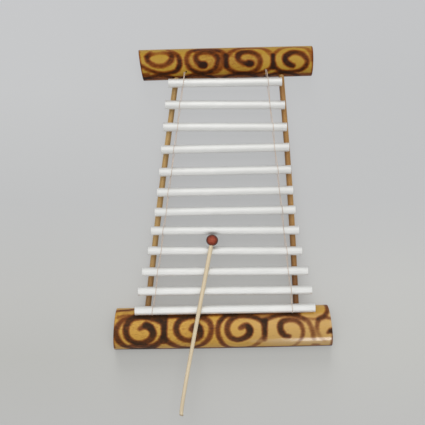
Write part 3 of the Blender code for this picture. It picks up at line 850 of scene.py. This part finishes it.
def drill(piece, start, end, radius):
    """Cuts a round hole along a line in the world, and returns the cutter."""
    size = {"radius1": radius, "radius2": radius, "depth": (end - start).length}
    mesh = made_by(bmesh.ops.create_cone, "drill", cap_ends=True, segments=32, **size)
    cutter = add_object("drill", mesh)
    cutter.matrix_world = Matrix.Translation((start + end) / 2) @ heading_along(end - start, "Z", "Y")
    modifier = piece.modifiers.new("drill", "BOOLEAN")
    modifier.object = cutter
    modifier.solver = "EXACT"
    return cutter


def drilled_mesh(piece, holes):
    """The piece's mesh with its holes cut."""
    cutters = [drill(piece, *hole) for hole in holes]
    bpy.context.view_layer.update()
    graph = bpy.context.evaluated_depsgraph_get()
    drilled = bpy.data.meshes.new_from_object(piece.evaluated_get(graph))
    piece.modifiers.clear()
    for cutter in cutters:
        bpy.data.objects.remove(cutter, do_unlink=True)
    return drilled


def make_bridge(culm, strokes, sheen_strokes, skin_material, cut_material):
    shell = mesh_of(culm.node, [skin(culm_rings(culm))], smooth_angle=35.0)
    place = Matrix.Translation((*culm.centre, culm.axis_height))
    place @= Matrix.Rotation(math.radians(culm.yaw), 4, "Z")
    piece = add_rigid(f"{culm.node}_bamboo", shell, None, place, "frame", culm.node)
    drilled = drilled_mesh(piece, holes_of(culm))
    piece.data = drilled

    points = vertices_of(drilled)
    along = points[:, 0] / culm.length + 0.5
    full = radius_at(culm, along)
    radius = np.hypot(points[:, 1] / widening(culm, along, points[:, 1]), points[:, 2])
    around = culm.inward * np.arcsin(np.clip(points[:, 1] / full, -1, 1)) * full
    on_skin = radius > full - CULM_EDGE
    places = np.column_stack([points[:, 0], around]) * MILLIMETRES
    # The marks: charred ornament with painted shade, and the painted sheen
    for name, lines in (("burn_and_shade", strokes), ("painted_sheen", sheen_strokes)):
        share = marks_at(places, lines) * on_skin
        drilled.attributes.new(name, "FLOAT", "POINT").data.foreach_set("value", share.astype(np.float32))
    drilled.materials.clear()
    drilled.materials.append(skin_material)
    drilled.materials.append(cut_material)
    for face in drilled.polygons:
        face.material_index = 0 if on_skin[list(face.vertices)].all() else 1
    return piece


# Round pieces

def make_tube(node, tube, material):
    length = (tube.end - tube.start).length
    inner = tube.radius - TUBE_WALL
    lip = rounding(TUBE_LIP, TUBE_LIP_STEPS, whole=True)
    bore_lip = rounding(TUBE_LIP / 2, TUBE_LIP_STEPS, whole=True)
    profile = [(tube.radius - inset, at) for at, inset in lip]
    profile += [(tube.radius - inset, length - at) for at, inset in reversed(lip)]
    profile += [(inner + inset, length - at) for at, inset in bore_lip]
    profile += [(inner + inset, at) for at, inset in reversed(bore_lip)]
    shell = skin(lathe(profile, TUBE_STEPS), closed=True)
    mesh = mesh_of(node, [shell], smooth_angle=60.0)
    return add_rigid(f"{node}_metal", mesh, material, lying(tube), node, node)


def make_bar(node, label, body, material, radii, edge, steps, rings, wander, bow, bow_power=1.0):
    """A bar with rounded ends whose surface wanders a little, as a shaved stick's does.

    It is bowed towards its own +Y, and a power below one moves the bow towards the start.
    """
    line = bar_of(node, Y_AXIS)
    length = (line.end - line.start).length
    turn = np.linspace(0, 2 * math.pi, steps, endpoint=False)
    bar = []
    for at, inset in stations(length, edge, BAR_EDGE_STEPS, rings):
        radius = radii[0] + (radii[1] - radii[0]) * at / length - inset
        # Slow waves along the bar, three lobes and two round it
        ripple = np.sin(3 * turn + at * 47) * np.sin(at * 83 + 1.3) + np.sin(2 * turn - at * 29)
        around = radius + wander * (ripple - 2) / 2
        aside = bow * math.sin(math.pi * (at / length) ** bow_power)
        across = [aside + around * np.cos(turn), around * np.sin(turn)]
        bar.append(np.stack([np.full(steps, at), *across], axis=1))
    add_rigid(f"{node}_{label}", mesh_of(node, [skin(bar)]), material, lying(line), body, node)


def make_rail(node, bow, material):
    """A rail, whose own +Y is the left."""
    radius = bar_of(node, Y_AXIS).radius
    make_bar(
        node, "stick", "frame", material, (radius * RAIL_SWELL_NEAR, radius * RAIL_SWELL_FAR),
        edge=0.0006, steps=40, rings=160, wander=0.00012, bow=bow,
    )


def make_stick(material):
    make_bar(
        "mallet_stick", "wood", "mallet", material, STICK_RADII,
        edge=0.0008, steps=36, rings=120, wander=0.00008, bow=0.0024, bow_power=0.4,
    )


def make_bead(material):
    """The mallet's head, with a blind bore for the stick and a dimple at its tip."""
    start = math.asin(BEAD_BORE / BEAD_HALF)
    profile = [(BEAD_BORE, BEAD_BORE_END), (BEAD_BORE, -BEAD_LONG_HALF * math.cos(start) + BEAD_RIM)]
    for angle in np.linspace(start + BEAD_ROUND_FROM, math.pi - BEAD_ROUND_TO, BEAD_ROUND_STEPS):
        profile.append((BEAD_HALF * math.sin(angle), -BEAD_LONG_HALF * math.cos(angle)))
    profile += [(radius, BEAD_LONG_HALF * share) for radius, share in BEAD_DIMPLE]
    bead = mesh_of("mallet_head", [skin(lathe(profile, BEAD_STEPS))], smooth_angle=60.0)
    stick = bar_of("mallet_stick", Y_AXIS)
    along = (stick.end - stick.start).normalized()
    place = Matrix.Translation(box_middle("mallet_head") + along * BEAD_AHEAD) @ heading_along(along)
    add_rigid("mallet_head_bead", bead, material, place, "mallet", "mallet_head")


# Strings

def wrap(stops):
    """The path of a taut strand across Y and Z past stops of (y, z, radius).

    A radius above zero passes over its stop, one below zero passes under it, and zero is a plain point.
    """
    headings = []
    for (y0, z0, r0), (y1, z1, r1) in zip(stops, stops[1:]):
        distance = math.hypot(y1 - y0, z1 - z0)
        headings.append(math.atan2(z1 - z0, y1 - y0) - math.asin((r0 - r1) / distance))
    path = []
    for number, (y, z, radius) in enumerate(stops):
        if radius == 0:
            path.append((y, z))
            continue
        start = headings[number - 1] + math.pi / 2
        sweep = headings[number] - headings[number - 1]
        count = max(2, math.ceil(abs(math.degrees(sweep)) / WRAP_STEP))
        for step in range(count + 1):
            angle = start + sweep * step / count
            path.append((y + radius * math.cos(angle), z + radius * math.sin(angle)))
    return np.array(path)


def crossings_of(line):
    """Where each tube's axis passes a string's line."""
    crossings = []
    for tube, middle in zip(tubes, tube_middles):
        share = (np.polyval(line, middle.y) - tube.start.x) / (tube.end.x - tube.start.x)
        crossings.append(tube.start.lerp(tube.end, share))
    return crossings


def strand_path(side, letter):
    """Evenly spaced points of a strand from knot to knot."""
    line = string_line(side, letter)
    turn = tubes[0].radius + STRAND_RADIUS + STRAND_PLAY
    near = [hole_point(NEAR, side, out) for out in (-NEAR.wall, STRAND_LIFT)]
    far = [hole_point(FAR, side, out) for out in (STRAND_LIFT, -FAR.wall)]
    stops = [(point.y, point.z, 0.0) for point in near]
    over = letter == "a"
    for crossing in crossings_of(line):
        stops.append((crossing.y, crossing.z, turn if over else -turn))
        over = not over
    stops += [(point.y, point.z, 0.0) for point in far]
    path = wrap(stops)
    steps = np.concatenate([[0], np.cumsum(np.linalg.norm(np.diff(path, axis=0), axis=1))])
    along = np.linspace(0, steps[-1], round(steps[-1] / STRAND_STEP))
    y, z = np.interp(along, steps, path[:, 0]), np.interp(along, steps, path[:, 1])
    clamped = np.clip(y, near[1].y, far[0].y)
    return np.stack([np.polyval(line, clamped), y, z], axis=1), along


def ply_rings(path, along, phase):
    """Rings of one ply, which turns round the strand's line."""
    heading = unit(np.gradient(path, axis=0))
    aside = unit(np.array([1.0, 0, 0]) - heading * heading[:, :1])
    above = np.cross(heading, aside)
    turn = (2 * math.pi * along / PLY_PITCH + phase)[:, None]
    centre = path + PLY_OFFSET * (np.cos(turn) * aside + np.sin(turn) * above)
    return rings_round(centre, aside, above, PLY_RADIUS, PLY_SIDES)


def strand_shells(plies, low, high):
    """The part of every ply that lies between two places along Y."""
    shells = []
    for path, rings in plies:
        inside = np.flatnonzero((path[:, 1] >= low) & (path[:, 1] <= high))
        first, last = max(inside[0] - 1, 0), inside[-1]
        shells.append(skin(rings[first : last + 1]))
    return shells


def make_strings(side, material):
    """The pair of strands of a side, in halves, each named after the tube at its one end."""
    plies = []
    for letter in "ab":
        path, along = strand_path(side, letter)
        plies += [(path, ply_rings(path, along, phase)) for phase in (0.0, math.pi)]
    crossings = crossings_of(pair_line(side))
    gaps = [(one.y + other.y) / 2 for one, other in zip(crossings, crossings[1:])]
    near_mouth = hole_point(NEAR, side, STRAND_LIFT)
    far_mouth = hole_point(FAR, side, STRAND_LIFT)
    nodes = [f"{side}_string_a", f"{side}_string_b"]
    for number, crossing, before, after in zip(NUMBERS, crossings, [-BEYOND, *gaps], [*gaps, BEYOND]):
        for label, low, high in (("near", before, crossing.y), ("far", crossing.y, after)):
            name = f"{side}_string_{number:02d}_{label}"
            mesh = mesh_of(name, strand_shells(plies, low, high), smooth_angle=80.0)
            piece = add_piece(name, mesh, material)
            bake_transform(piece)
            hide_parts(*nodes)


def make_knot(end_name, side, material):
    """An overhand knot, drawn up against the inside of the culm."""
    node = f"{end_name}_{side}_knot"
    turn = np.linspace(0, 2 * math.pi, KNOT_STEPS, endpoint=False)
    curl = np.stack([
        np.sin(turn) + 2 * np.sin(2 * turn),
        np.cos(turn) - 2 * np.cos(2 * turn),
        -KNOT_CURL_DEPTH * np.sin(3 * turn),
    ], axis=1)
    path = curl / KNOT_CURL_REACH * (KNOT_RADIUS - STRAND_RADIUS)
    heading = unit(np.roll(path, -1, axis=0) - np.roll(path, 1, axis=0))
    aside = unit(np.cross(heading, path + np.array(KNOT_TILT)))
    rings = rings_round(path, aside, np.cross(heading, aside), KNOT_STRAND_RADIUS, KNOT_SIDES)
    mesh = mesh_of(node, [skin(rings, closed=True)], smooth_angle=80.0)
    place = Matrix.Translation(box_middle(node))
    add_rigid(f"{node}_thread", mesh, material, place, "frame", node)


# Stage

def make_floor():
    mesh = made_by(bmesh.ops.create_grid, "floor", x_segments=8, y_segments=8, size=20.0)
    mesh.materials.append(make_material("pale_floor", pale_floor))
    floor = add_object("floor", mesh)
    floor.location.z = FLOOR_HEIGHT
    return floor


def add_lamp(light, direction, only=None):
    """A lamp that shines in a direction, on all pieces or only on those given."""
    lamp = add_object(light.name, light)
    lamp.rotation_mode = "QUATERNION"
    lamp.rotation_quaternion = Vector(direction).to_track_quat("-Z", "Y")
    if only is not None:
        lit = bpy.data.collections.new(f"lit_by_{light.name}")
        for piece in only:
            lit.objects.link(piece)
        lamp.light_linking.receiver_collection = lit
    return lamp


def add_area(lamp, only=None):
    """A soft rectangular lamp that the camera doesn't see."""
    light = bpy.data.lights.new(lamp.name, "AREA")
    light.shape = "RECTANGLE"
    light.size, light.size_y = lamp.size
    light.energy = lamp.power
    added = add_lamp(light, Vector(lamp.target) - Vector(lamp.at), only)
    added.location = lamp.at
    added.visible_camera = False
    return added


def add_low_light(floor):
    """A weak light from behind that draws the object's soft shadow on the floor."""
    light = bpy.data.lights.new("low_light", "SUN")
    light.energy = 2.0
    light.angle = math.radians(28.0)
    add_lamp(light, direction=(0.06, -1.0, -0.42), only=[floor])


def make_light(near_bridge, tube_pieces):
    """A soft dome, a large lamp overhead that isn't mirrored, and a weak strip at the far end.

    A strip at the near end lights only the tubes, and a window in front only glints on the near bridge.
    """
    world = bpy.data.worlds.new("studio")
    world.use_nodes = True
    tree = world.node_tree
    toward = add_node(tree, "TexCoord")["Generated"]
    height = add_node(tree, "SeparateXYZ", {0: toward})["Z"]
    tilted = add_node(tree, "VectorMath", {0: toward, 1: STUDIO_BRIGHTEST}, operation="DOT_PRODUCT")
    studio = ramp(tree, tilted["Value"], STUDIO_TONES)
    rays, seen = seen_rays(tree)
    shown = mix(tree, rays["Is Camera Ray"], studio, BACKDROP)
    lit = mix(tree, seen, ramp(tree, height, DOME_TONES), shown)
    tree.links.new(lit, tree.nodes["Background"].inputs["Color"])
    bpy.context.scene.world = world
    add_area(KEY).visible_glossy = False
    add_area(BACK_STRIP)
    add_area(FRONT_STRIP, tube_pieces)
    add_area(WINDOW, [near_bridge]).visible_diffuse = False


def make_camera():
    data = bpy.data.cameras.new("camera")
    data.sensor_width = SENSOR
    data.lens = FOCAL_PIXELS / IMAGE_SIDE * SENSOR
    camera = add_object("camera", data)
    camera.location = CAMERA_AT
    camera.rotation_euler = (0.0, 0.0, CAMERA_ROLL)
    bpy.context.scene.camera = camera
    bpy.context.scene.view_settings.view_transform = "Standard"


def main():
    make_camera()
    floor = make_floor()
    near_skin = make_material("near_bamboo", bamboo_skin, tones=NEAR_TONES, gloss=0.65, polish=0.15)
    near_cut = make_material("near_cut", bamboo_cut, culm=NEAR)
    near_bridge = make_bridge(NEAR, NEAR_ORNAMENT_AND_SHADE, NEAR_SHEEN, near_skin, near_cut)
    far_skin = make_material("far_bamboo", bamboo_skin, tones=FAR_TONES, gloss=0.30, polish=0.22)
    far_cut = make_material("far_cut", bamboo_cut, culm=FAR)
    make_bridge(FAR, FAR_ORNAMENT_AND_SHADE, [], far_skin, far_cut)
    left_wood = make_material(
        "left_rail_wood", rail_wood,
        dark=(0.37, 0.215, 0.064), light=(0.72, 0.48, 0.19), stain=0.6, inward=-1,
    )
    right_wood = make_material(
        "right_rail_wood", rail_wood,
        dark=(0.31, 0.14, 0.032), light=(0.60, 0.34, 0.10), stain=0.85, inward=1,
    )
    make_rail("left_rail", bow=0.0014, material=left_wood)
    make_rail("right_rail", bow=-0.0021, material=right_wood)
    aluminium = make_material("satin_aluminium", satin_aluminium)
    tube_pieces = [make_tube(node, tube, aluminium) for node, tube in zip(TUBE_NODES, tubes)]
    make_light(near_bridge, tube_pieces)
    add_low_light(floor)
    thread = make_material("twisted_thread", twisted_thread)
    for side in SIDES:
        make_strings(side, thread)
        for end_name in ("near", "far"):
            make_knot(end_name, side, thread)
    make_stick(make_material("stick_wood", stick_wood))
    make_bead(make_material("lacquered_bead", lacquered_bead))


main()
